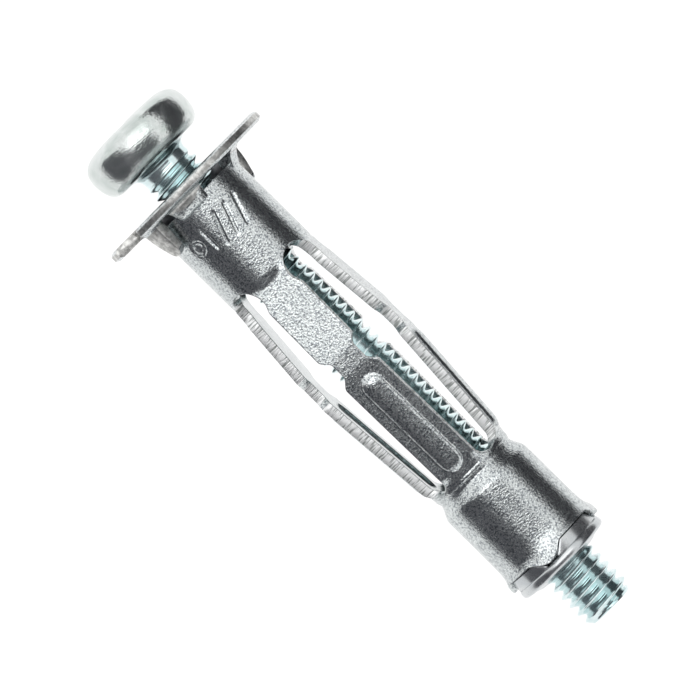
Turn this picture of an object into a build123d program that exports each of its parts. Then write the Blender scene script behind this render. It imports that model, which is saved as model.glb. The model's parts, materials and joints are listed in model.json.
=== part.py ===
from build123d import *
import math
import os

# Expanding wall anchor for hollow walls, M4 x 32, with its M4 x 40 pan head screw.
# The anchor lies along Y as it sits in an upright wall: +Y points into the wall and +Z is up.
# The origin is the centre of the collar's seat on the wall. Sizes are in millimetres.

os.makedirs("parts", exist_ok=True)

# Sheet and sleeve
SHEET = 0.67
TUBE_R = 3.41
COLLAR_R = 6.45
COLLAR_T = 0.70
WINDOW_H = 0.56
WINDOW_HALF_DEG = 25
SLOT_HEAD_R = 1.39
SLOT_HEAD_Y = 8.10

# Anti-rotation teeth, bent down out of the collar, one of them over a window
TOOTH_REACH = 4.50
TOOTH_LEAN = 0.35
TOOTH_HALF_W = 0.78
TOOTH_Y = 2.40
TOOTH_TIP_R = 0.35
GAP_HALF_W = 1.45

# Legs: fold lines as (axial place, radius of the leg's outer face)
FOLD_Y, FOLD_R = 7.30, 3.24
ELBOW_Y, ELBOW_R = 14.53, 3.85
FOOT_Y, FOOT_R = 24.70, 3.10
LEG_HALF_W = 1.46
NECK_HALF_W = 1.22
NOTCH_HALF_W = 0.94
FOOT_TIP = 0.10
FOOT_RAMP = 1.99
FOOT_GAP = 0.02

# Bead pressed outwards along each far half
BEAD_Y0, BEAD_Y1 = 16.0, 24.1
BEAD_W = 1.60
BEAD_H = 0.26

# Tail tube that holds the nut
NECK_R = 3.02
NECK_Y1 = 25.35
TAIL_Y = 26.30
FLARE_Y = 30.95
TONGUE_Y = 32.33
TONGUE_R = 3.73
NOTCH_FLOOR_Y = 31.62
NOTCH_FLOOR_HALF_W = 1.36
NOTCH_TOP_HALF_W = 2.21

# Nut
NUT_Y0 = 26.60
NUT_SQUARE = 4.40
NUT_CORNER_R = 2.70
NUT_RIM_R = 3.44
NUT_RIM_Y0, NUT_RIM_Y1 = 32.36, 33.12
NUT_END_Y = 33.40
KEY_R = 3.36
KEY_Y = 31.72
KEY_CLEARANCE = 0.10

# Screw
THREAD_R = 1.92
THREAD_ROOT_R = 1.52
PITCH = 0.70
THREAD_CLEARANCE = 0.05
HEAD_SEAT_Y = -2.82
HEAD_R = 4.00
HEAD_H = 3.14
SCREW_TIP_Y = 37.18
NECK_SCREW_R = 1.78
THREAD_START_Y = -2.00
RECESS_ARM = 2.20
RECESS_W = 0.90
RECESS_DEPTH = 1.90

LEGS = {"top": 0, "right": 90, "bottom": 180, "left": 270}


def outward(angle):
    """Unit vector away from the axis, angle degrees from +Z towards +X."""
    return Vector(math.sin(math.radians(angle)), 0, math.cos(math.radians(angle)))


def side_plane(angle):
    """Plane through the axis: local x is the radius, local y runs along the anchor."""
    return Plane(origin=(0, 0, 0), x_dir=outward(angle), z_dir=outward(angle).cross(Vector(0, 1, 0)))


def face_plane(angle, radius=0.0):
    """Plane square to the radius: local x is the width, local y runs along the anchor."""
    return Plane(
        origin=outward(angle) * radius,
        x_dir=Vector(0, 1, 0).cross(outward(angle)),
        z_dir=outward(angle),
    )


def leg_outer(y):
    """Radius of a leg's outer face at axial place y."""
    if y < ELBOW_Y:
        return FOLD_R + (ELBOW_R - FOLD_R) * (y - FOLD_Y) / (ELBOW_Y - FOLD_Y)
    return ELBOW_R + (FOOT_R - ELBOW_R) * (y - ELBOW_Y) / (FOOT_Y - ELBOW_Y)


# One anti-rotation tooth, tapered to a round tip; the collar takes two
with BuildPart() as tooth:
    with BuildSketch(side_plane(45)):
        with BuildLine():
            Polyline(
                (TOOTH_REACH - SHEET, -0.1),
                (TOOTH_REACH, -0.1),
                (TOOTH_REACH - TOOTH_LEAN, TOOTH_Y),
                (TOOTH_REACH - TOOTH_LEAN - 0.50, TOOTH_Y),
                close=True,
            )
        make_face()
    extrude(amount=TOOTH_HALF_W, both=True)
    with BuildSketch(face_plane(45, TOOTH_REACH + 1)):
        with BuildLine():
            Line((-TOOTH_HALF_W, -0.2), (TOOTH_HALF_W, -0.2))
            Line((TOOTH_HALF_W, -0.2), (TOOTH_TIP_R, TOOTH_Y - TOOTH_TIP_R))
            ThreePointArc(
                (TOOTH_TIP_R, TOOTH_Y - TOOTH_TIP_R), (0, TOOTH_Y), (-TOOTH_TIP_R, TOOTH_Y - TOOTH_TIP_R)
            )
            Line((-TOOTH_TIP_R, TOOTH_Y - TOOTH_TIP_R), (-TOOTH_HALF_W, -0.2))
        make_face()
    extrude(amount=-3, mode=Mode.INTERSECT)

# Collar: flange, two teeth and the near tube, one piece of sheet
with BuildPart() as sleeve_collar:
    with BuildSketch(Plane.XY):
        with BuildLine():
            Polyline(
                (TUBE_R - SHEET, -COLLAR_T),
                (COLLAR_R, -COLLAR_T),
                (COLLAR_R, 0),
                (TUBE_R, 0),
                (TUBE_R, FOLD_Y),
                (TUBE_R - SHEET, FOLD_Y),
                close=True,
            )
        make_face()
    revolve(axis=Axis.Y)
    rims = sleeve_collar.edges().filter_by(GeomType.CIRCLE).filter_by(lambda e: e.radius > 6)
    fillet(rims, 0.15)
    mouth = sleeve_collar.edges().filter_by(GeomType.CIRCLE).group_by(Axis.Y)[0].sort_by(SortBy.RADIUS)[0]
    fillet(mouth, 0.35)
    # the four slots between the legs start as round ends in the near tube
    for angle in (45, 135):
        with BuildSketch(face_plane(angle)):
            with Locations((0, SLOT_HEAD_Y)):
                Circle(SLOT_HEAD_R)
        extrude(amount=COLLAR_R, both=True, mode=Mode.SUBTRACT)
    # two windows under the flange, one on each side of the top leg
    for angle in (45, 315):
        with BuildSketch(Plane.XZ):
            with BuildLine():
                a0 = math.radians(90 - angle - WINDOW_HALF_DEG)
                a1 = math.radians(90 - angle + WINDOW_HALF_DEG)
                Polyline(
                    (1.5 * math.cos(a0), 1.5 * math.sin(a0)),
                    (4.2 * math.cos(a0), 4.2 * math.sin(a0)),
                    (4.2 * math.cos(a1), 4.2 * math.sin(a1)),
                    (1.5 * math.cos(a1), 1.5 * math.sin(a1)),
                    close=True,
                )
            make_face()
        extrude(amount=-WINDOW_H, mode=Mode.SUBTRACT)
    # the teeth leave a matching gap in the flange
    for angle in (45, 225):
        with BuildSketch(side_plane(angle)):
            with BuildLine():
                Polyline(
                    (TOOTH_REACH, -COLLAR_T - 1),
                    (COLLAR_R + 1, -COLLAR_T - 1),
                    (COLLAR_R + 1, 1),
                    (TOOTH_REACH, 1),
                    close=True,
                )
            make_face()
        extrude(amount=GAP_HALF_W, both=True, mode=Mode.SUBTRACT)
    add(tooth.part)
    add(tooth.part.rotate(Axis.Y, 180))
sleeve_collar.part.label = "sleeve_collar"
export_step(sleeve_collar.part, "parts/sleeve_collar.step")

# Legs: each is a near half and a far half that meet at the elbow
for name, angle in LEGS.items():
    with BuildPart() as near_leg:
        with BuildSketch(side_plane(angle)):
            with BuildLine():
                Polyline(
                    (FOLD_R - SHEET, FOLD_Y),
                    (FOLD_R, FOLD_Y),
                    (ELBOW_R, ELBOW_Y),
                    (ELBOW_R - SHEET, ELBOW_Y),
                    close=True,
                )
            make_face()
        extrude(amount=LEG_HALF_W, both=True)
        with BuildSketch(face_plane(angle)):
            with BuildLine():
                Polyline(
                    (LEG_HALF_W, FOLD_Y),
                    (NECK_HALF_W, FOLD_Y + 0.55),
                    (NECK_HALF_W, FOLD_Y + 0.95),
                    (LEG_HALF_W, FOLD_Y + 1.60),
                    (LEG_HALF_W, ELBOW_Y - 1.30),
                    (NOTCH_HALF_W, ELBOW_Y - 0.55),
                    (NOTCH_HALF_W, ELBOW_Y),
                    (-NOTCH_HALF_W, ELBOW_Y),
                    (-NOTCH_HALF_W, ELBOW_Y - 0.55),
                    (-LEG_HALF_W, ELBOW_Y - 1.30),
                    (-LEG_HALF_W, FOLD_Y + 1.60),
                    (-NECK_HALF_W, FOLD_Y + 0.95),
                    (-NECK_HALF_W, FOLD_Y + 0.55),
                    (-LEG_HALF_W, FOLD_Y),
                    close=True,
                )
            make_face()
        extrude(amount=COLLAR_R, mode=Mode.INTERSECT)
    near_leg.part.label = f"leg_{name}_near"
    export_step(near_leg.part, f"parts/leg_{name}_near.step")

    with BuildPart() as far_leg:
        with BuildSketch(side_plane(angle)):
            with BuildLine():
                Polyline(
                    (ELBOW_R - SHEET, ELBOW_Y),
                    (ELBOW_R, ELBOW_Y),
                    (FOOT_R, FOOT_Y),
                    (FOOT_R - FOOT_TIP, FOOT_Y),
                    (leg_outer(FOOT_Y - FOOT_RAMP) - SHEET, FOOT_Y - FOOT_RAMP),
                    close=True,
                )
            make_face()
        extrude(amount=LEG_HALF_W, both=True)
        with BuildSketch(face_plane(angle)):
            with BuildLine():
                Polyline(
                    (NOTCH_HALF_W, ELBOW_Y),
                    (NOTCH_HALF_W, ELBOW_Y + 0.50),
                    (LEG_HALF_W, ELBOW_Y + 1.25),
                    (LEG_HALF_W, FOOT_Y),
                    (-LEG_HALF_W, FOOT_Y),
                    (-LEG_HALF_W, ELBOW_Y + 1.25),
                    (-NOTCH_HALF_W, ELBOW_Y + 0.50),
                    (-NOTCH_HALF_W, ELBOW_Y),
                    close=True,
                )
            make_face()
        extrude(amount=COLLAR_R, mode=Mode.INTERSECT)
        # the bead: raised outside, hollow inside
        middle = (BEAD_Y0 + BEAD_Y1) / 2
        slope = math.atan2(ELBOW_R - FOOT_R, FOOT_Y - ELBOW_Y)
        crown = outward(angle) * leg_outer(middle) + Vector(0, middle, 0)
        along = Vector(0, math.cos(slope), 0) - outward(angle) * math.sin(slope)
        bead_plane = Plane(origin=crown, x_dir=along, z_dir=along.cross(side_plane(angle).z_dir))
        with BuildSketch(bead_plane):
            SlotOverall(BEAD_Y1 - BEAD_Y0, BEAD_W)
        extrude(amount=BEAD_H, taper=40)
        with BuildSketch(bead_plane.offset(-SHEET)):
            SlotOverall(BEAD_Y1 - BEAD_Y0 - SHEET, BEAD_W - SHEET)
        extrude(amount=BEAD_H, taper=40, mode=Mode.SUBTRACT)
    far_leg.part.label = f"leg_{name}_far"
    export_step(far_leg.part, f"parts/leg_{name}_far.step")

# Tail: the neck, the tube round the nut and the four tongues crimped over the nut's rim
with BuildPart() as sleeve_tail:
    with BuildSketch(Plane.XY):
        with BuildLine():
            Polyline(
                (NECK_R - 0.57, FOOT_Y),
                (NECK_R, FOOT_Y),
                (NECK_R, NECK_Y1),
                (TUBE_R, TAIL_Y),
                (TUBE_R + 0.04, FLARE_Y),
                (TONGUE_R, TONGUE_Y),
                (TONGUE_R - SHEET, TONGUE_Y),
                (TUBE_R + 0.04 - SHEET, FLARE_Y),
                (TUBE_R - SHEET, TAIL_Y),
                (NECK_R - 0.57, NECK_Y1),
                close=True,
            )
        make_face()
    revolve(axis=Axis.Y)
    # gaps between the tongues, wider towards the end
    for angle in (45, 135):
        with BuildSketch(face_plane(angle)):
            with BuildLine():
                Polyline(
                    (NOTCH_FLOOR_HALF_W, NOTCH_FLOOR_Y),
                    (NOTCH_TOP_HALF_W, TONGUE_Y),
                    (NOTCH_TOP_HALF_W, TONGUE_Y + 1),
                    (-NOTCH_TOP_HALF_W, TONGUE_Y + 1),
                    (-NOTCH_TOP_HALF_W, TONGUE_Y),
                    (-NOTCH_FLOOR_HALF_W, NOTCH_FLOOR_Y),
                    close=True,
                )
            make_face()
        extrude(amount=COLLAR_R, both=True, mode=Mode.SUBTRACT)
    # a feathered foot reaches under the end of each leg
    for angle in LEGS.values():
        with BuildSketch(side_plane(angle)):
            with BuildLine():
                Polyline(
                    (NECK_R - 0.57, FOOT_Y),
                    (FOOT_R - FOOT_TIP - FOOT_GAP, FOOT_Y),
                    (leg_outer(FOOT_Y - FOOT_RAMP) - SHEET - FOOT_GAP, FOOT_Y - FOOT_RAMP),
                    (leg_outer(FOOT_Y - FOOT_RAMP) - SHEET - 0.16, FOOT_Y - FOOT_RAMP),
                    close=True,
                )
            make_face()
        extrude(amount=LEG_HALF_W, both=True)
sleeve_tail.part.label = "sleeve_tail"
export_step(sleeve_tail.part, "parts/sleeve_tail.step")

# Keys of the nut: one fills each gap between two tongues and keeps the nut from turning
with BuildPart() as keys:
    for angle in (45, 135):
        with BuildSketch(face_plane(angle)):
            with BuildLine():
                Polyline(
                    (NOTCH_FLOOR_HALF_W, KEY_Y),
                    (NOTCH_TOP_HALF_W - KEY_CLEARANCE, NUT_RIM_Y0),
                    (NOTCH_TOP_HALF_W - KEY_CLEARANCE, NUT_RIM_Y0 + 0.10),
                    (-NOTCH_TOP_HALF_W + KEY_CLEARANCE, NUT_RIM_Y0 + 0.10),
                    (-NOTCH_TOP_HALF_W + KEY_CLEARANCE, NUT_RIM_Y0),
                    (-NOTCH_FLOOR_HALF_W, KEY_Y),
                    close=True,
                )
            make_face()
        extrude(amount=COLLAR_R, both=True)
    with BuildSketch(Plane.XY):
        with BuildLine():
            Polyline(
                (NUT_CORNER_R - 0.20, KEY_Y),
                (KEY_R, KEY_Y),
                (KEY_R, NUT_RIM_Y0 + 0.10),
                (NUT_CORNER_R - 0.20, NUT_RIM_Y0 + 0.10),
                close=True,
            )
        make_face()
    revolve(axis=Axis.Y, mode=Mode.INTERSECT)

# Nut: a square body held by the tail, a cone that spread the tongues, and a round rim
with BuildPart() as nut:
    with BuildSketch(Plane.XZ.offset(-NUT_Y0)):
        Rectangle(NUT_SQUARE, NUT_SQUARE)
    extrude(amount=-(FLARE_Y - NUT_Y0))
    with BuildSketch(Plane.XY):
        with BuildLine():
            Polyline(
                (0, NUT_Y0),
                (NUT_CORNER_R - 0.4, NUT_Y0),
                (NUT_CORNER_R, NUT_Y0 + 0.4),
                (NUT_CORNER_R, FLARE_Y),
                (0, FLARE_Y),
                close=True,
            )
        make_face()
    revolve(axis=Axis.Y, mode=Mode.INTERSECT)
    with BuildSketch(Plane.XY):
        with BuildLine():
            Polyline(
                (0, FLARE_Y),
                (NUT_CORNER_R, FLARE_Y),
                (TONGUE_R - SHEET - 0.04, TONGUE_Y),
                (NUT_RIM_R - 0.10, NUT_RIM_Y0),
                (NUT_RIM_R, NUT_RIM_Y0 + 0.10),
                (NUT_RIM_R, NUT_RIM_Y1 - 0.15),
                (NUT_RIM_R - 0.20, NUT_RIM_Y1),
                (NUT_CORNER_R - 1.0, NUT_END_Y),
                (0, NUT_END_Y),
                close=True,
            )
        make_face()
    revolve(axis=Axis.Y)
    add(keys.part)
    with BuildSketch(Plane.XZ.offset(-NUT_Y0)):
        Circle(THREAD_R + THREAD_CLEARANCE)
    extrude(amount=-(NUT_END_Y - NUT_Y0), mode=Mode.SUBTRACT)
nut.part.label = "nut"
export_step(nut.part, "parts/nut.step")

# Screw: pan head with a cross recess, plain neck, thread drawn as a stack of ridges
ridges = int((SCREW_TIP_Y - 0.5 - THREAD_START_Y) / PITCH)
with BuildPart() as screw:
    with BuildSketch(Plane.XY):
        with BuildLine():
            top = HEAD_SEAT_Y - HEAD_H
            Line((0, top), (2.2, top))
            Spline(
                (2.2, top),
                (HEAD_R - 0.55, top + 0.45),
                (HEAD_R, top + 1.55),
                (HEAD_R - 0.22, HEAD_SEAT_Y - 0.50),
                (HEAD_R - 0.65, HEAD_SEAT_Y),
            )
            Line((HEAD_R - 0.65, HEAD_SEAT_Y), (NECK_SCREW_R, HEAD_SEAT_Y))
            profile = [(NECK_SCREW_R, HEAD_SEAT_Y), (NECK_SCREW_R, THREAD_START_Y)]
            for i in range(ridges):
                y = THREAD_START_Y + i * PITCH
                profile.append((THREAD_ROOT_R, y + 0.30 * PITCH))
                profile.append((THREAD_ROOT_R, y + 0.42 * PITCH))
                profile.append((THREAD_R, y + 0.80 * PITCH))
                profile.append((THREAD_R, y + 0.92 * PITCH))
            profile.append((THREAD_ROOT_R, SCREW_TIP_Y))
            profile.append((0, SCREW_TIP_Y))
            profile.append((0, top))
            Polyline(*profile)
        make_face()
    revolve(axis=Axis.Y)
    with BuildSketch(Plane.XZ.offset(HEAD_H - HEAD_SEAT_Y)):
        Rectangle(2 * RECESS_ARM, RECESS_W)
        Rectangle(RECESS_W, 2 * RECESS_ARM)
    extrude(amount=-RECESS_DEPTH, mode=Mode.SUBTRACT)
screw.part.label = "screw"
export_step(screw.part, "parts/screw.step")
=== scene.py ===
"""Looks of the hollow-wall anchor: zinc plated sheet sleeve, captive nut and M4 pan head screw.

Everything is in the shared frame. The anchor's lengths are in millimetres until a mesh is made, and
the camera and the studio are in metres. The anchor lies along Y. An angle round it is measured from
+Z towards +X.
"""

import json
import math

import bmesh
import bpy
from mathutils import Matrix, Vector


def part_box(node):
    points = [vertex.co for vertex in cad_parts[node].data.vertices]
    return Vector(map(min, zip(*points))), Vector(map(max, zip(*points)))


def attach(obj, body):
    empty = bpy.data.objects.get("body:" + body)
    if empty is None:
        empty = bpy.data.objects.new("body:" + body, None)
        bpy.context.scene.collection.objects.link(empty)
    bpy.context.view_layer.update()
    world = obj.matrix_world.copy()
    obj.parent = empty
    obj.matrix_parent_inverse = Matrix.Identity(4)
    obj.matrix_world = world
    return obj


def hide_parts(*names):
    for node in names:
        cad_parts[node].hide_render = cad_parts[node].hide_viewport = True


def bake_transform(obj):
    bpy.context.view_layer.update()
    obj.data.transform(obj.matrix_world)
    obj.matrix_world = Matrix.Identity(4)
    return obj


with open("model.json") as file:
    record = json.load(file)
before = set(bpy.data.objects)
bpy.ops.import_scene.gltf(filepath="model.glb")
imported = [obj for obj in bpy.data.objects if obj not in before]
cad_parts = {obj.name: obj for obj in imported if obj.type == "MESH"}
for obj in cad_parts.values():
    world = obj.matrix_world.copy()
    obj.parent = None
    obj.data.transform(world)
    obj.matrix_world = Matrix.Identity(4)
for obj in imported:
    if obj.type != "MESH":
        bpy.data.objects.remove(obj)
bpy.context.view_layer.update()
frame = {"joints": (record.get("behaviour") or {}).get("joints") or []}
MM = 0.001

# ---------------------------------------------------------------- sizes read from the frame


def box_mm(node):
    low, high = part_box(node)
    return low / MM, high / MM


pivots = {j["name"]: Vector(j["pos_m"]) / MM for j in frame["joints"] if "pos_m" in j}
collar_low, collar_high = box_mm("sleeve_collar")
near_high = box_mm("leg_top_near")[1]
far_high = box_mm("leg_top_far")[1]
tail_high = box_mm("sleeve_tail")[1]
nut_low, nut_high = box_mm("nut")
screw_low, screw_high = box_mm("screw")

COLLAR_R = collar_high.x
COLLAR_T = -collar_low.y
FOLD_Y = collar_high.y
FOLD_R = pivots["root_fold_top"].z
ELBOW_Y = near_high.y
ELBOW_R = near_high.z
SHEET = ELBOW_R - pivots["elbow_fold_top"].z
LEG_HALF_W = near_high.x
FOOT_Y = far_high.y
TONGUE_Y = tail_high.y
TONGUE_R = tail_high.x
NUT_Y0, NUT_Y1 = nut_low.y, nut_high.y
NUT_R = nut_high.x
HEAD_TOP_Y, TIP_Y = screw_low.y, screw_high.y
HEAD_R = screw_high.x

# ---------------------------------------------------------------- sizes of the details

TUBE_R = 3.41
FOOT_R = 3.10
FLANGE_ROUND = 0.16
WINDOW_Y = 0.56
WINDOW_HALF_DEG = 25.0
WINDOW_ANGLES = (-45.0, 45.0)
NECK_BULGE = 0.24
SLOT_HEAD_R = 1.39
SLOT_HEAD_Y = 8.10
SEAM_Y = FOLD_Y - 0.35
ELBOW_SEAM_Y = ELBOW_Y - 0.70
NOTCH_DEPTH = 0.52
ELBOW_DIP = 0.045
ELBOW_DIP_LENGTH = 0.45
BEAD_Y0, BEAD_Y1 = 15.95, 24.15
BEAD_HALF_W = 0.80
BEAD_H = 0.27
SLOT_END_Y = FOOT_Y - 0.03
SLOT_END_R = 0.60
FOOT_FLARE = FOOT_R * math.sin(math.pi / 4) - LEG_HALF_W - 0.02
TONGUE_HALF_W = 1.43
TONGUE_FLAT = 0.42
GAP_FLOOR_Y = 31.62
FLARE_Y = 30.95
TOOTH_R = 4.48
TOOTH_LEAN = 0.35
TOOTH_HALF_W = 0.78
TOOTH_Y = 2.38
TOOTH_CUP = 0.10
TOOTH_TIP_HALF_W = 0.42
TOOTH_TIP_T = 0.42
TOOTH_TIP_LENGTH = 0.40
GAP_HALF_W = 1.45
TOOTH_ANGLES = (math.radians(45), math.radians(225))
NUT_HALF_SQUARE = 2.20
NUT_CORNER_R = 2.68
NUT_BORE_R = 1.97
KEY_OUTER_R, KEY_INNER_R = 3.36, 2.55
KEY_END_Y = 32.46
HEAD_SEAT_Y = -2.82
SHANK_START_Y = -2.25
SHANK_R = 1.76
PITCH = 0.70
THREAD_START = 0.43
CREST_R, ROOT_R = 1.90, 1.47
CHAMFER_LENGTH = 0.50
CHAMFER_SLOPE = 0.75
SCREW_SIDES = 96
STAMP_DEPTH = 0.085
STAMP_TURN = math.radians(9)
LEGS = {"top": 0.0, "right": 90.0, "bottom": 180.0, "left": 270.0}

# ---------------------------------------------------------------- small maths


def clamp(v, low=0.0, high=1.0):
    return max(low, min(high, v))


def ease(low, high, v):
    """0 below low, 1 above high, smooth between."""
    t = clamp((v - low) / (high - low))
    return t * t * (3 - 2 * t)


def mix(a, b, t):
    return a + (b - a) * t


def steps(low, high, count):
    return [low + (high - low) * i / count for i in range(count + 1)]


def around(angle, radius, y):
    """Point at an angle round the axis."""
    return Vector((radius * math.sin(angle), y, radius * math.cos(angle)))


def on_leg(angle, x, y, r):
    """Point of a leg: x across it, y along it, r out from the axis."""
    s, c = math.sin(math.radians(angle)), math.cos(math.radians(angle))
    return Vector((r * s + x * c, y, r * c - x * s))


def curve(points, per_span):
    """Smooth open curve through the points (Catmull-Rom)."""
    pts = [Vector(p) for p in points]
    pts = [2 * pts[0] - pts[1]] + pts + [2 * pts[-1] - pts[-2]]
    out = []
    for a, b, c, d in zip(pts, pts[1:], pts[2:], pts[3:]):
        for i in range(per_span):
            t = i / per_span
            square = (2 * a - 5 * b + 4 * c - d) * t**2
            cube = (3 * b - a - 3 * c + d) * t**3
            out.append(0.5 * (2 * b + (c - a) * t + square + cube))
    return out + [pts[-2]]


def to_segment(x, y, a, b):
    """Distance from (x, y) to the segment a-b."""
    p, a, b = Vector((x, y)), Vector(a), Vector(b)
    t = clamp((p - a).dot(b - a) / (b - a).length_squared)
    return (p - a.lerp(b, t)).length


# ---------------------------------------------------------------- meshes


def bake(obj):
    """Applies the modifiers, so that what rides is the finished mesh."""
    evaluated = obj.evaluated_get(bpy.context.evaluated_depsgraph_get())
    mesh = bpy.data.meshes.new_from_object(evaluated)
    obj.modifiers.clear()
    obj.data = mesh
    return obj


def face_outwards(mesh):
    shape = bmesh.new()
    shape.from_mesh(mesh)
    bmesh.ops.recalc_face_normals(shape, faces=shape.faces)
    shape.to_mesh(mesh)
    shape.free()


def weigh_edges(mesh, crease, seams):
    """Marks the sharp edges for the bevel, but not those in a seam with the next stretch of sheet."""
    shape = bmesh.new()
    shape.from_mesh(mesh)
    weight = shape.edges.layers.float.new("bevel_weight_edge")
    for edge in shape.edges:
        sharp = edge.is_manifold and edge.calc_face_angle() > math.radians(crease)
        in_seam = any(all(abs(v.co.y / MM - y) < 0.005 for v in edge.verts) for y in seams)
        edge[weight] = 1.0 if sharp and not in_seam else 0.0
    shape.to_mesh(mesh)
    shape.free()


def make(name, verts, faces, bevel=0.0, crease=40, seams=()):
    """Object of a closed mesh in mm, with its sharp edges rounded by bevel mm, except in a seam."""
    mesh = bpy.data.meshes.new(name)
    mesh.from_pydata([Vector(v) * MM for v in verts], [], faces)
    mesh.update()
    obj = bpy.data.objects.new(name, mesh)
    bpy.context.scene.collection.objects.link(obj)
    weld = obj.modifiers.new("weld", "WELD")
    weld.merge_threshold = 2e-7
    bake(obj)
    face_outwards(obj.data)
    if bevel:
        weigh_edges(obj.data, crease, seams)
        edge = obj.modifiers.new("edges", "BEVEL")
        edge.width = bevel * MM
        edge.segments = 2
        edge.limit_method = "WEIGHT"
        edge.use_clamp_overlap = True
        bake(obj)
    obj.data.shade_smooth()
    obj.data.set_sharp_from_angle(angle=math.radians(crease))
    return obj


def loft(loops, ring=False):
    """Verts and faces through closed loops of equal length, capped unless they close into a ring."""
    count = len(loops[0])
    verts = [p for loop in loops for p in loop]
    faces = []
    for i in range(len(loops) if ring else len(loops) - 1):
        a, b = i * count, (i + 1) % len(loops) * count
        for k in range(count):
            n = (k + 1) % count
            faces.append((a + k, b + k, b + n, a + n))
    if not ring:
        faces.append(tuple(range(count)))
        faces.append(tuple(len(verts) - 1 - k for k in range(count)))
    return verts, faces


def together(parts):
    """One vertex and face list from several."""
    verts, faces = [], []
    for v, f in parts:
        base = len(verts)
        verts += v
        faces += [tuple(base + i for i in face) for face in f]
    return verts, faces


def circles(profile):
    """One loop round the axis for each (radius, y) point."""
    turns = [2 * math.pi * i / SCREW_SIDES for i in range(SCREW_SIDES)]
    return [[around(turn, r, y) for turn in turns] for r, y in profile]


# ---------------------------------------------------------------- sleeve: collar and near tube


def slot_edge(angle):
    """Where the near tube ends at this angle: the seam with a leg or a slot's round head."""
    off = (math.degrees(angle) - 45 + 45) % 90 - 45
    chord = TUBE_R * math.sin(math.radians(off))
    if abs(chord) >= SLOT_HEAD_R:
        return SEAM_Y
    return min(SEAM_Y, SLOT_HEAD_Y - math.sqrt(SLOT_HEAD_R**2 - chord**2))


def stamp_depth(x, y):
    """Generic stamped ticks on the near tube: three slanted strokes, a bar and a ring."""
    strokes = [((start, 2.0), (start + 0.7, 3.9)) for start in (-1.9, -1.0, -0.1)]
    strokes.append(((1.3, 2.2), (1.3, 3.7)))
    near = min(to_segment(x, y, a, b) for a, b in strokes)
    ring = abs(math.hypot(x - 2.4, y - 2.95) - 0.45)
    return STAMP_DEPTH * (1 - ease(0.05, 0.15, min(near, ring)))


def near_tube():
    """Tube from the windows to the legs, with closer stations on the stamped side."""
    fine = [math.radians(a) for a in range(-62, 42)]
    coarse = [math.radians(43 + 2.5 * i) for i in range(102)]
    loops = []
    for angle in fine + coarse:
        top = slot_edge(angle)
        outer = []
        for y in steps(WINDOW_Y, top, 70):
            x = TUBE_R * ((angle + math.pi) % (2 * math.pi) - math.pi + STAMP_TURN)
            outer.append(around(angle, TUBE_R - stamp_depth(x, y), y))
        inner = [around(angle, TUBE_R - SHEET, y) for y in steps(top, WINDOW_Y, 12)]
        loops.append(outer + inner)
    return loft(loops, ring=True)


def neck(start, end, bulge=0.0):
    """Bent neck of sheet that carries the flange from one window to the next, bulged in its middle."""
    inside = curve([(2.78, 1.05), (2.76, 0.70), (2.80, 0.20), (2.98, -0.30), (3.35, -0.60), (4.5, -0.62)], 4)
    loops = []
    middle = (start + end) / 2
    for a in steps(start, end, round((end - start) / 2)):
        share = (a - middle) / (end - middle)
        b = bulge * (1 - share**2)
        bend = [(3.36, 1.05), (3.43 + 0.8 * b, 0.92), (3.56 + b, 0.68), (3.78 + 0.6 * b, 0.34)]
        outside = curve(bend + [(4.05, 0.09), (4.5, -0.05)], 4)
        lift = 0.05 * (1 - share**4)
        profile = [(r + lift, y + lift) for r, y in outside] + list(reversed(inside))
        loops.append([around(math.radians(a), r, y) for r, y in profile])
    return loft(loops)


def flange_half(start, end):
    """Half of the flange between the two gaps that the teeth were bent out of."""
    notch = [
        (3.02, 0.0), (TOOTH_R, 0.0), (TOOTH_R + 0.02, GAP_HALF_W), (5.4, GAP_HALF_W),
        (COLLAR_R, GAP_HALF_W + 0.1),
    ]
    stations = []
    for (r0, w0), (r1, w1) in zip(notch, notch[1:]):
        stations += [(mix(r0, r1, t), mix(w0, w1, t)) for t in steps(0, 1, 4)[:-1]]
    stations.append(notch[-1])
    loops = []
    for share in steps(0, 1, 90):
        wall, room = [], []
        for r, w in stations:
            low = start + math.asin(w / r)
            high = end - math.asin(w / r)
            angle = mix(low, high, share)
            past = max(0.0, r - COLLAR_R + FLANGE_ROUND)
            drop = FLANGE_ROUND - math.sqrt(max(0.0, FLANGE_ROUND**2 - past**2))
            bore = 0.5 * (1 - ease(3.0, 3.6, r))
            wall.append(around(angle, r, -drop))
            room.append(around(angle, r, -COLLAR_T + drop + bore))
        loops.append(wall + list(reversed(room)))
    return loft(loops)


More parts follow.
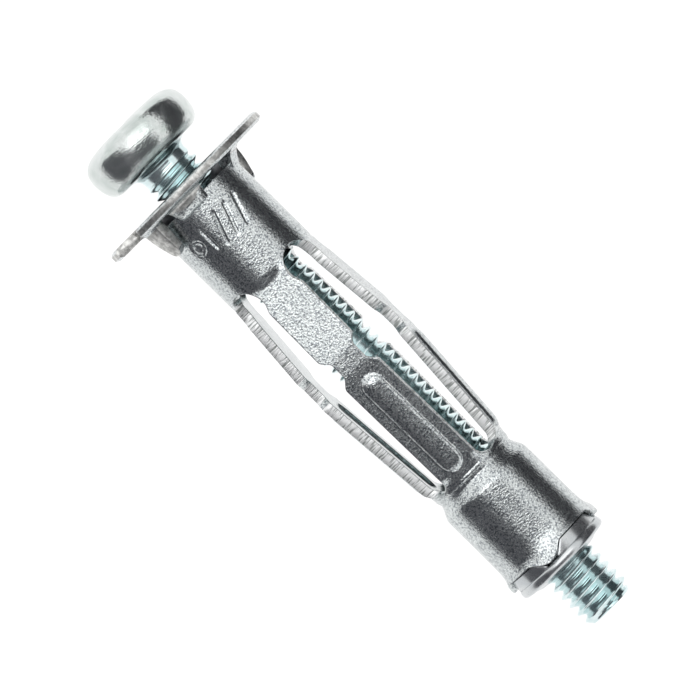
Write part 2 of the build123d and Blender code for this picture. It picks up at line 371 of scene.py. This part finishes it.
def tooth(angle):
    """Tooth bent down out of the flange, tapered to a rounded tip that leans in."""
    middle = TOOTH_R - SHEET / 2
    path = curve(
        [(middle + 0.75, -0.36), (middle + 0.35, -0.34), (middle + 0.08, -0.16), (middle, 0.2),
         (middle - 0.05, 0.8), (middle - 0.5 * TOOTH_LEAN, 1.6), (middle - 0.8 * TOOTH_LEAN, TOOTH_Y)],
        6,
    )
    loops = []
    for i, p in enumerate(path):
        ahead = path[min(i + 1, len(path) - 1)] - path[max(i - 1, 0)]
        along = clamp(p[1] / TOOTH_Y)
        side = Vector((-ahead.y, ahead.x)).normalized() * mix(SHEET, TOOTH_TIP_T, along**2) / 2
        root = TOOTH_HALF_W + 0.1 * (1 - ease(-0.3, 0.3, p[1]))
        tip = max(0.0, (p[1] - (TOOTH_Y - TOOTH_TIP_LENGTH)) / TOOTH_TIP_LENGTH)
        half = mix(root, TOOTH_TIP_HALF_W, along**1.4) * math.sqrt(max(0.03, 1 - tip**2))
        loop = []
        for face in (1, -1):
            for x in steps(-half * face, half * face, 10):
                cup = TOOTH_CUP * (x / TOOTH_HALF_W) ** 2
                r = p[0] + side.x * face - cup
                loop.append(on_leg(math.degrees(angle), x, p[1] + side.y * face, r))
        loops.append(loop)
    return loft(loops)


def build_collar():
    halves = [flange_half(a, a + math.pi) for a in TOOTH_ANGLES]
    first, second = WINDOW_ANGLES
    necks = [neck(first + WINDOW_HALF_DEG, second - WINDOW_HALF_DEG, bulge=NECK_BULGE)]
    necks.append(neck(second + WINDOW_HALF_DEG, first - WINDOW_HALF_DEG + 360))
    parts = [near_tube()] + halves + necks + [tooth(a) for a in TOOTH_ANGLES]
    return make("collar", *together(parts), bevel=0.05, crease=42, seams=(SEAM_Y,))


# ---------------------------------------------------------------- sleeve: legs


def leg_outer(y):
    """Radius of a leg's outer face along its middle, with a shallow dip at the elbow."""
    if y < ELBOW_Y:
        r = mix(FOLD_R, ELBOW_R, (y - FOLD_Y) / (ELBOW_Y - FOLD_Y))
    else:
        r = mix(ELBOW_R, FOOT_R, (y - ELBOW_Y) / (FOOT_Y - ELBOW_Y))
    return r - ELBOW_DIP * math.exp(-(((y - ELBOW_Y) / ELBOW_DIP_LENGTH) ** 2))


def leg_half_width(y):
    """Half the width of a leg: beside a slot's round head, notched at the elbow, flared at the foot."""
    if y < SLOT_HEAD_Y:
        chord = math.sqrt(max(0.0, SLOT_HEAD_R**2 - (SLOT_HEAD_Y - y) ** 2))
        return TUBE_R * math.sin(math.pi / 4 - math.asin(chord / TUBE_R))
    neck = TUBE_R * math.sin(math.pi / 4 - math.asin(SLOT_HEAD_R / TUBE_R))
    width = mix(neck, LEG_HALF_W, ease(SLOT_HEAD_Y + 0.1, SLOT_HEAD_Y + 0.95, y))
    notch = ease(ELBOW_Y - 1.30, ELBOW_Y - 0.50, y) * (1 - ease(ELBOW_Y + 0.45, ELBOW_Y + 1.25, y))
    corner = clamp((y - (SLOT_END_Y - SLOT_END_R)) / SLOT_END_R)
    return width - NOTCH_DEPTH * notch + FOOT_FLARE * (1 - math.sqrt(1 - corner**2))


def bead_height(x, y):
    """Domed ridge with a short, steeper flank all round."""
    d = to_segment(x, y, (0, BEAD_Y0 + BEAD_HALF_W), (0, BEAD_Y1 - BEAD_HALF_W)) / BEAD_HALF_W
    dome = max(0.0, 1 - d**2) ** 0.6
    return BEAD_H * dome * (1 - ease(0.86, 1.0, d))


def leg_level(x, y):
    """Radius of a leg's outer face: flat, but round as the neck at its foot."""
    r = leg_outer(y)
    return mix(r, math.sqrt(r**2 - x**2), ease(FOOT_Y - 0.9, SLOT_END_Y, y))


def leg_loop(angle, y):
    """Section of a leg: round as the tube at its root, flat beyond the fold."""
    half = leg_half_width(y)
    flat = ease(FOLD_Y - 0.30, FOLD_Y + 0.35, y)
    inner_r = TUBE_R - SHEET
    outer, inner = [], []
    for x in steps(-half, half, 36):
        bead = bead_height(x, y)
        level = leg_level(x, y)
        outer.append(on_leg(angle, x, y, mix(math.sqrt(TUBE_R**2 - x**2), level, flat) + bead))
        squeezed = x * mix(inner_r / TUBE_R, 1, flat)
        root = math.sqrt(inner_r**2 - (x * inner_r / TUBE_R) ** 2)
        inner.append(on_leg(angle, squeezed, y, mix(root, level - SHEET, flat) + bead * 0.9))
    return outer + list(reversed(inner))


def build_leg(name, angle):
    near = [leg_loop(angle, y) for y in steps(SEAM_Y, ELBOW_SEAM_Y, 64)]
    far = [leg_loop(angle, y) for y in steps(ELBOW_SEAM_Y, FOOT_Y, 100)]
    edges = {"bevel": 0.045, "crease": 50}
    near_obj = make(f"leg_{name}_near_half", *loft(near), seams=(SEAM_Y, ELBOW_SEAM_Y), **edges)
    far_obj = make(f"leg_{name}_far_half", *loft(far), seams=(ELBOW_SEAM_Y, FOOT_Y), **edges)
    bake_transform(near_obj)
    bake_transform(far_obj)
    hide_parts(f"leg_{name}_near")
    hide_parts(f"leg_{name}_far")
    return near_obj, far_obj


# ---------------------------------------------------------------- sleeve: tail


def tongue_edge(angle):
    """Where the tail ends at this angle: four tongues with 45 degree flanks and flat gaps between."""
    off = abs((math.degrees(angle) + 45) % 90 - 45)
    arc = TONGUE_R * math.radians(off)
    share = clamp((arc - TONGUE_FLAT) / (TONGUE_HALF_W - TONGUE_FLAT))
    return mix(TONGUE_Y - 0.10 * ease(0.1, TONGUE_FLAT, arc), GAP_FLOOR_Y, mix(share, ease(0, 1, share), 0.5))


def build_tail():
    outside = curve(
        [(3.09, FOOT_Y), (FOOT_R, 24.86), (3.04, 25.02), (3.00, 25.20), (3.06, 25.40), (3.26, 25.80),
         (3.39, 26.10), (3.42, 26.5), (3.42, 28.6), (3.43, 30.3), (3.46, FLARE_Y), (3.51, 31.35),
         (3.60, 31.8), (TONGUE_R, TONGUE_Y)],
        5,
    )
    loops = []
    for i in range(240):
        angle = 2 * math.pi * i / 240
        edge = tongue_edge(angle)
        stretch = (edge - FLARE_Y) / (TONGUE_Y - FLARE_Y)
        rows = [(r, y + max(0.0, y - FLARE_Y) * (stretch - 1)) for r, y in outside]
        outer = [around(angle, r, y) for r, y in rows]
        inner = [around(angle, r - SHEET, y) for r, y in reversed(rows)]
        loops.append(outer + inner)
    obj = make("tail", *loft(loops, ring=True), bevel=0.05, crease=40, seams=(FOOT_Y,))
    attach(obj, "nut_end")
    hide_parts("sleeve_tail")
    return obj


# ---------------------------------------------------------------- nut


def nut_key(angle):
    """Block of the nut that fills the gap between two tongues."""
    loops = []
    for y in steps(GAP_FLOOR_Y + 0.09, KEY_END_Y, 8):
        arc = mix(TONGUE_HALF_W, TONGUE_FLAT, clamp((y - GAP_FLOOR_Y) / (TONGUE_Y - GAP_FLOOR_Y)))
        half = math.radians(45) - arc / TONGUE_R - 0.035
        outer = [around(angle + t, KEY_OUTER_R, y) for t in steps(-half, half, 14)]
        inner = [around(angle + t, KEY_INNER_R, y) for t in steps(half, -half, 14)]
        loops.append(outer + inner)
    return loft(loops)


def nut_radius(angle, r, y):
    """Outer points are pressed to a square with cut corners, up to where the nut turns round."""
    if r <= 2.1:
        return r
    across = max(abs(math.sin(angle)), abs(math.cos(angle)))
    return mix(min(NUT_HALF_SQUARE / across, NUT_CORNER_R), r, ease(30.9, 31.2, y))


def build_nut():
    bore, corner = NUT_BORE_R, NUT_CORNER_R
    profile = [
        (bore + 0.25, NUT_Y0), (2.45, NUT_Y0), (2.62, NUT_Y0 + 0.15), (corner, NUT_Y0 + 0.4), (corner, 29.0),
        (corner, 30.9), (2.70, 31.1), (2.76, 31.3), (2.80, 31.45), (2.88, 31.8), (3.0, 32.2), (3.03, 32.36),
        (3.22, 32.40), (3.34, 32.46), (NUT_R - 0.04, 32.56), (NUT_R, 32.70), (NUT_R, 32.90),
        (NUT_R - 0.05, 33.00), (3.26, 33.08), (3.05, 33.12), (2.6, 33.20), (2.3, 33.32), (2.14, NUT_Y1),
        (bore + 0.14, NUT_Y1), (bore, NUT_Y1 - 0.16), (bore, 30.0), (bore, NUT_Y0 + 0.25),
    ]
    turns = [2 * math.pi * i / 192 for i in range(192)]
    body = loft([[around(turn, nut_radius(turn, r, y), y) for r, y in profile] for turn in turns], ring=True)
    key_angles = [math.radians(45 + 90 * k) for k in range(4)]
    obj = make("captive_nut", *together([body] + [nut_key(a) for a in key_angles]), bevel=0.05, crease=38)
    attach(obj, "nut_end")
    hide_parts("nut")
    return obj


# ---------------------------------------------------------------- screw


def thread_radius(phase):
    """Radius at a phase of the pitch, 0 at the crest: 60 degree flanks, small flat crest, round root."""
    d = abs((phase + 0.5) % 1 - 0.5)
    return mix(CREST_R, ROOT_R, ease(0.02, 0.5, d) * 0.35 + clamp((d - 0.05) / 0.40) * 0.65)


def shank():
    """Helical thread: each row of the grid climbs one pitch per turn, so the ridges follow it."""
    per_pitch = 12
    rows = int((TIP_Y - SHANK_START_Y) / PITCH * per_pitch) + per_pitch
    verts, faces = [], []
    for j in range(-per_pitch, rows + 1):
        for i in range(SCREW_SIDES + 1):
            turn = i / SCREW_SIDES
            y = clamp(SHANK_START_Y + PITCH * (j / per_pitch + turn), SHANK_START_Y, TIP_Y)
            depth = ease(-2.15, -1.35, y) * (1 - 0.25 * ease(TIP_Y - 0.45, TIP_Y - 0.1, y))
            r = mix(SHANK_R, thread_radius(j / per_pitch + THREAD_START), depth)
            r = min(r, CREST_R - CHAMFER_SLOPE * max(0.0, y - (TIP_Y - CHAMFER_LENGTH)))
            verts.append(around(2 * math.pi * turn, r, y))
    width = SCREW_SIDES + 1
    for j in range(rows + per_pitch):
        for i in range(SCREW_SIDES):
            a = j * width + i
            faces.append((a, a + 1, a + width + 1, a + width))
    return verts, faces


def open_ended(profile):
    """Round shape through the profile, left open where it starts so that it joins the shank."""
    verts, faces = loft(circles(profile))
    faces.pop(-2)
    return verts, faces


def build_screw():
    head = curve(
        [(SHANK_R, SHANK_START_Y), (1.80, -2.45), (1.98, -2.68), (2.4, HEAD_SEAT_Y + 0.01),
         (3.05, HEAD_SEAT_Y - 0.01), (3.42, -2.96), (3.70, -3.22), (3.88, -3.60), (3.96, -4.05),
         (3.985, -4.46), (3.93, -4.86), (3.80, -5.22), (3.45, -5.58), (2.75, -5.83), (1.5, HEAD_TOP_Y + 0.03),
         (0.02, HEAD_TOP_Y + 0.01)],
        5,
    )
    tip_r = CREST_R - CHAMFER_SLOPE * CHAMFER_LENGTH
    dished = curve(
        [(tip_r, TIP_Y), (1.25, TIP_Y - 0.01), (0.95, TIP_Y - 0.05), (0.6, TIP_Y - 0.12),
         (0.02, TIP_Y - 0.15)],
        4,
    )
    obj = make("screw_body", *together([shank(), open_ended(head), open_ended(dished)]), crease=38)
    cut_recess(obj)
    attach(obj, "screw")
    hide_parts("screw")
    return obj


def cut_recess(obj):
    """Cross recess in the head's top, with tapered wings."""
    loops = []
    sections = ((-0.3, 2.15, 0.47), (0.9, 1.85, 0.42), (1.7, 1.25, 0.34), (2.05, 0.55, 0.30))
    for depth, arm, half in sections:
        y = HEAD_TOP_Y + depth
        corner = [(arm, half), (half * 1.35, half * 1.35), (half, arm)]
        loop = []
        for quarter in range(4):
            c, n = math.cos(quarter * math.pi / 2), math.sin(quarter * math.pi / 2)
            loop += [Vector((x * c - z * n, y, x * n + z * c)) for x, z in corner]
        loops.append(loop)
    cutter = make("recess_cutter", *loft(loops), crease=30)
    cut = obj.modifiers.new("recess", "BOOLEAN")
    cut.operation = "DIFFERENCE"
    cut.solver = "EXACT"
    cut.object = cutter
    bake(obj)
    bpy.data.objects.remove(cutter)
    obj.data.shade_smooth()
    obj.data.set_sharp_from_angle(angle=math.radians(38))


# ---------------------------------------------------------------- materials


class Nodes:
    """Short names for the nodes of one material."""

    def __init__(self, name):
        self.mat = bpy.data.materials.new(name)
        self.mat.use_nodes = True
        self.tree = self.mat.node_tree
        self.tree.nodes.clear()
        self.place = self.add("ShaderNodeTexCoord").outputs["Object"]

    def add(self, kind, inputs=None, **settings):
        node = self.tree.nodes.new(kind)
        for key, value in settings.items():
            setattr(node, key, value)
        for key, value in (inputs or {}).items():
            if isinstance(value, bpy.types.NodeSocket):
                self.tree.links.new(value, node.inputs[key])
            else:
                node.inputs[key].default_value = value
        return node

    def noise(self, scale, detail=2.0, rough=0.5, stretch=(1, 1, 1), warp=0.0):
        place = self.add("ShaderNodeMapping", {"Vector": self.place, "Scale": stretch}).outputs["Vector"]
        found = self.add(
            "ShaderNodeTexNoise",
            {"Vector": place, "Scale": scale, "Detail": detail, "Roughness": rough, "Distortion": warp},
        )
        return found.outputs["Fac"]

    def fit(self, value, low, high, to_low, to_high):
        node = self.add(
            "ShaderNodeMapRange",
            {"Value": value, "From Min": low, "From Max": high, "To Min": to_low, "To Max": to_high},
        )
        return node.outputs["Result"]

    def blend(self, amount, a, b):
        node = self.add("ShaderNodeMix", data_type="RGBA")
        for socket, value in ((node.inputs[0], amount), (node.inputs[6], a), (node.inputs[7], b)):
            if isinstance(value, bpy.types.NodeSocket):
                self.tree.links.new(value, socket)
            else:
                socket.default_value = value
        return node.outputs[2]

    def bump(self, height, strength, distance, under=None):
        inputs = {"Height": height, "Strength": strength, "Distance": distance}
        if under:
            inputs["Normal"] = under
        return self.add("ShaderNodeBump", inputs).outputs["Normal"]

    def metal(self, color, roughness, normal):
        surface = self.add(
            "ShaderNodeBsdfPrincipled",
            {"Base Color": color, "Metallic": 1.0, "Roughness": roughness, "Normal": normal},
        )
        self.add("ShaderNodeOutputMaterial", {"Surface": surface.outputs["BSDF"]})
        return self.mat


def sheet_zinc(name, grit):
    """Zinc on rolled sheet: a fine sparkling grain, cloudy patches and a few rubbed streaks."""
    n = Nodes(name)
    grain = n.noise(14000, 2.0, 0.6)
    flecks = n.noise(7500, 1.5, 0.55)
    clouds = n.noise(900, 3.0, 0.6)
    streaks = n.noise(2600, 2.0, 0.5, stretch=(1, 0.16, 1))
    normal = n.bump(grain, 0.42 * grit, 0.000024)
    normal = n.bump(flecks, 0.40 * grit, 0.000040, normal)
    normal = n.bump(streaks, 0.15 * grit, 0.00001, normal)
    tone = n.blend(n.fit(clouds, 0.35, 0.65, 0, 1), (0.51, 0.54, 0.545, 1), (0.63, 0.66, 0.66, 1))
    tone = n.blend(n.fit(flecks, 0.48, 0.60, 0, 0.90 * grit), tone, (0.18, 0.20, 0.22, 1))
    tone = n.blend(n.fit(grain, 0.53, 0.62, 0, 0.85 * grit), tone, (0.85, 0.89, 0.88, 1))
    return n.metal(tone, n.fit(grain, 0.3, 0.7, 0.12, 0.22), normal)


def sheared_zinc():
    """The legs' cut edges: ticks left by the punch across the sheet, over a smoother burnished zinc."""
    n = Nodes("sheared_edge")
    ticks = n.noise(10500, 1.5, 0.5, stretch=(0.10, 1, 0.10))
    grain = n.noise(9000, 2.0, 0.5)
    normal = n.bump(ticks, 0.8, 0.00004)
    normal = n.bump(grain, 0.2, 0.00001, normal)
    tone = n.blend(n.fit(ticks, 0.36, 0.48, 0, 1), (0.36, 0.38, 0.37, 1), (0.93, 0.94, 0.94, 1))
    return n.metal(tone, n.fit(ticks, 0.4, 0.6, 0.55, 0.42), normal)


def rim_zinc():
    """The collar's punched rim: duller, with mottled warm patches."""
    n = Nodes("punched_rim")
    patches = n.noise(2500, 3.0, 0.65)
    grain = n.noise(9000, 2.0, 0.6)
    normal = n.bump(patches, 0.5, 0.00003)
    normal = n.bump(grain, 0.4, 0.000012, normal)
    tone = n.blend(n.fit(patches, 0.4, 0.6, 0, 1), (0.36, 0.36, 0.35, 1), (0.70, 0.70, 0.68, 1))
    return n.metal(tone, 0.38, normal)


def bore_painted_shade():
    """Painted shade for the inside of the rolled tube: a near-black zinc that stands in for the shade in the
    bore, mottled at random.
    """
    n = Nodes("tube_bore_painted_shade")
    shade_mottle = n.noise(1800, 3.0, 0.6)
    grain = n.noise(9000, 2.0, 0.6)
    # Near-black tone between 0.10 and 0.20: painted shade of the tube's inside, mottled at random.
    tone = n.blend(n.fit(shade_mottle, 0.4, 0.6, 0, 1), (0.10, 0.10, 0.11, 1), (0.20, 0.20, 0.21, 1))
    return n.metal(tone, 0.42, n.bump(grain, 0.4, 0.000012))


def turned_zinc(name, dark, light, roughness, ripple=0.0):
    """Zinc on a headed or turned piece: faint rings, soft clouds and a clear blue passivation."""
    n = Nodes(name)
    rings = n.noise(5200, 2.0, 0.5, stretch=(0.15, 1, 0.15))
    ripples = n.noise(4200, 2.0, 0.6, stretch=(1, 2.2, 1))
    grain = n.noise(8000, 2.0, 0.6)
    clouds = n.noise(700, 3.0, 0.6, warp=0.6)
    normal = n.bump(rings, 0.12, 0.000012)
    normal = n.bump(grain, 0.18, 0.000008, normal)
    if ripple:
        normal = n.bump(ripples, ripple, 0.00005, normal)
    tone = n.blend(n.fit(clouds, 0.35, 0.65, 0, 1), dark, light)
    return n.metal(tone, n.fit(clouds, 0.35, 0.65, roughness, roughness + 0.10), normal)


def paint(obj, slot, *materials):
    for m in materials:
        obj.data.materials.append(m)


def paint_collar(obj, sheet, rim, bore):
    """Rim material on the flange's cut edges and the teeth's outer faces, the painted-shade one inside the
    tube.
    """
    paint(obj, "sleeve_zinc", sheet, rim, bore)
    flange_r, tooth_r, neck_y = 4.0 * MM, 3.9 * MM, 0.15 * MM
    for face in obj.data.polygons:
        away = Vector((face.center.x, 0, face.center.z))
        cut_edge = face.center.y < 0 and away.length > flange_r and abs(face.normal.y) < 0.8
        on_tooth = face.center.y > neck_y and away.length > tooth_r
        if cut_edge or on_tooth:
            face.material_index = 1
        # Faces inside the tube that look inwards get the near-black material: painted shade in the bore.
        elif away.length < TUBE_R * MM and face.normal.dot(away.normalized()) < -0.3:
            face.material_index = 2


def paint_leg(obj, angle, sheet, edge, inside):
    """Sheet material on the outside, the sheared one on the two cut sides, a calmer one inside."""
    paint(obj, "sleeve_zinc", sheet, edge, inside)
    across = on_leg(angle, 1, 0, 0)
    away = on_leg(angle, 0, 0, 1)
    for face in obj.data.polygons:
        if abs(face.normal.dot(across)) > 0.8:
            face.material_index = 1
        elif face.normal.dot(away) < -0.5:
            face.material_index = 2


# ---------------------------------------------------------------- build


def build_object():
    sheet, inside = sheet_zinc("sleeve_zinc", 1.0), sheet_zinc("sleeve_inside", 0.3)
    edge, rim = sheared_zinc(), rim_zinc()
    collar = build_collar()
    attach(collar, "collar")
    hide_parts("sleeve_collar")
    # The third material is painted shade for the tube's inner faces.
    paint_collar(collar, sheet, rim, bore_painted_shade())
    for name, angle in LEGS.items():
        for obj in build_leg(name, angle):
            paint_leg(obj, angle, sheet, edge, inside)
    paint(build_tail(), "sleeve_zinc", sheet)
    nut = turned_zinc("nut_zinc", (0.51, 0.535, 0.55, 1), (0.65, 0.67, 0.675, 1), 0.20)
    paint(build_nut(), "nut_zinc", nut)
    thread = turned_zinc("screw_zinc", (0.60, 0.74, 0.75, 1), (0.78, 0.88, 0.89, 1), 0.14)
    head = turned_zinc("head_zinc", (0.55, 0.60, 0.58, 1), (0.72, 0.75, 0.74, 1), 0.12, ripple=0.42)
    screw = build_screw()
    paint(screw, "screw_zinc", thread, head)
    for face in screw.data.polygons:
        face.material_index = 1 if face.center.y < HEAD_SEAT_Y * MM else 0


def card(name, corners, color):
    """Flat, matt staged sheet: the floor or a studio card."""
    mesh = bpy.data.meshes.new(name)
    mesh.from_pydata(corners, [], [tuple(range(len(corners)))])
    obj = bpy.data.objects.new(name, mesh)
    bpy.context.scene.collection.objects.link(obj)
    mat = bpy.data.materials.new(name)
    mat.use_nodes = True
    surface = mat.node_tree.nodes["Principled BSDF"]
    surface.inputs["Base Color"].default_value = color
    surface.inputs["Roughness"].default_value = 1.0
    mesh.materials.append(mat)
    return obj


def reflected(name, corners, color):
    """Dark card that only shows in reflections, so it shades neither the floor nor any view."""
    obj = card(name, corners, color)
    obj.visible_camera = False
    obj.visible_diffuse = False
    obj.visible_shadow = False


VIEW_ROLL = math.radians(9.5)
IMAGE_ROLL = math.radians(44.6)
FIELD = 43.94 * MM
LENS = 440
MIDDLE = 14.175 * MM
overhead = Vector((-math.sin(VIEW_ROLL), 0, math.cos(VIEW_ROLL)))
along = Vector((0, 1, 0))
aside = overhead.cross(along)


def build_camera():
    """Telephoto view square to the collar, which shows edge on, with the whole anchor in the frame."""
    data = bpy.data.cameras.new("camera")
    data.sensor_width = 36
    data.lens = LENS
    obj = bpy.data.objects.new("camera", data)
    bpy.context.scene.collection.objects.link(obj)
    distance = FIELD * LENS / data.sensor_width
    centre = along * MIDDLE - aside * 0.05 * MM
    place = centre + overhead * distance - along * MIDDLE
    toward = (place - centre).normalized()
    level = aside.cross(toward)
    right = level * math.cos(IMAGE_ROLL) + aside * math.sin(IMAGE_ROLL)
    up = aside * math.cos(IMAGE_ROLL) - level * math.sin(IMAGE_ROLL)
    turn = Matrix((right, up, toward)).transposed()
    obj.matrix_world = Matrix.Translation(place) @ turn.to_4x4()
    data.clip_start, data.clip_end = 0.01, 20
    bpy.context.scene.camera = obj


def studio(t, y, up):
    """Place in the studio: t across the anchor, y along it, up towards the camera."""
    return aside * t + along * y + overhead * up


def softbox(name, place, size, power):
    """Panel light over the anchor, level with it."""
    data = bpy.data.lights.new(name, "AREA")
    data.shape = "RECTANGLE"
    data.size, data.size_y = size
    data.energy = power
    obj = bpy.data.objects.new(name, data)
    bpy.context.scene.collection.objects.link(obj)
    obj.matrix_world = Matrix.Translation(place) @ Matrix((-aside, along, overhead)).transposed().to_4x4()


def build_studio():
    scene = bpy.context.scene
    scene.view_settings.view_transform = "Standard"
    world = bpy.data.worlds.new("world")
    scene.world = world
    world.use_nodes = True
    world.node_tree.nodes["Background"].inputs["Color"].default_value = (1, 1, 1, 1)
    world.node_tree.nodes["Background"].inputs["Strength"].default_value = 1.06
    z = -100 * MM
    card("floor", [(-3, -3, z), (3, -3, z), (3, 3, z), (-3, 3, z)], (0.95, 0.95, 0.95, 1))
    top = 0.80
    edge = [
        (-0.80, -0.60), (-0.40, -0.10), (-0.24, 0.0), (-0.17, 0.015), (0.42, 0.02), (0.42, 0.90),
        (-0.80, 0.90),
    ]
    reflected("top_card", [studio(t, y, top) for t, y in edge], (0.14, 0.14, 0.15, 1))
    side = [(-0.60, -0.08), (0.90, -0.08), (0.90, top), (-0.60, top)]
    reflected("left_card", [studio(-0.80, y, up) for y, up in side], (0.10, 0.10, 0.11, 1))
    slope = [(0.16, -0.07, -0.60), (0.16, -0.07, 0.60), (0.62, 0.40, 0.60), (0.62, 0.40, -0.60)]
    reflected("right_card", [studio(t, y, up) for t, up, y in slope], (0.05, 0.05, 0.055, 1))
    softbox("key", studio(0.10, -0.54, 0.82), (0.80, 1.14), 1.15)
    softbox("sparkle", studio(0.02, -0.17, 0.81), (0.76, 0.20), 0.42)


build_camera()
build_studio()
build_object()
